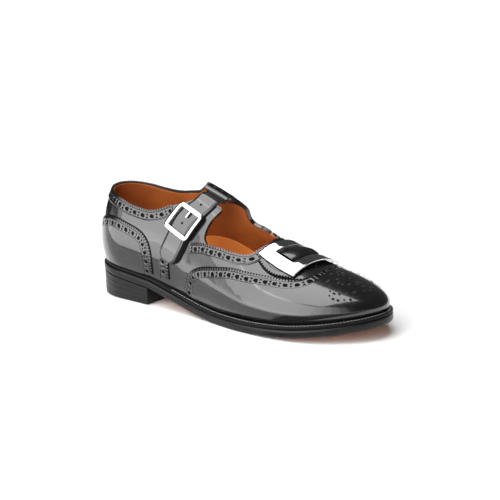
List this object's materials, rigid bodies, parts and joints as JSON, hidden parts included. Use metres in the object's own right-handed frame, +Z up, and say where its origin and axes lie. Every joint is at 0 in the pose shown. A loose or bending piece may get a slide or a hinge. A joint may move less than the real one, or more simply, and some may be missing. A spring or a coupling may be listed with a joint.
{
  "type": "buckle brogue shoe",
  "caption": "Low leather shoe with a punched wing cap, an instep strap fastened by a square buckle, and a rectangular buckle plate on the vamp; leather sole with a low heel.",
  "frame": {"origin": "middle of the shoe's outline on the floor, under the sole", "axes": "+X towards the toe, +Y towards the medial side, +Z up"},
  "size_m": [0.299, 0.1086, 0.1118],
  "materials": {
    "upper_leather": "black leather, high gloss, punched and stitched",
    "strap_leather": "black leather, high gloss",
    "insole_leather": "orange tan leather, smooth",
    "sole_edge": "black edge dressing, satin",
    "heel_stack": "black stacked leather, satin",
    "polished_metal": "polished silver-coloured metal"
  },
  "bodies": {
    "root": {"outsole": "sole_edge", "welt": "sole_edge", "heel": "heel_stack", "insole": "insole_leather", "quarters": "upper_leather", "vamp": "upper_leather", "wing_cap": "upper_leather", "heel_counter": "upper_leather", "instep_strap": "strap_leather", "instep_buckle": "polished_metal", "buckle_prong": "polished_metal", "vamp_tab": "strap_leather", "vamp_buckle": "polished_metal"}
  },
  "joints": []
}
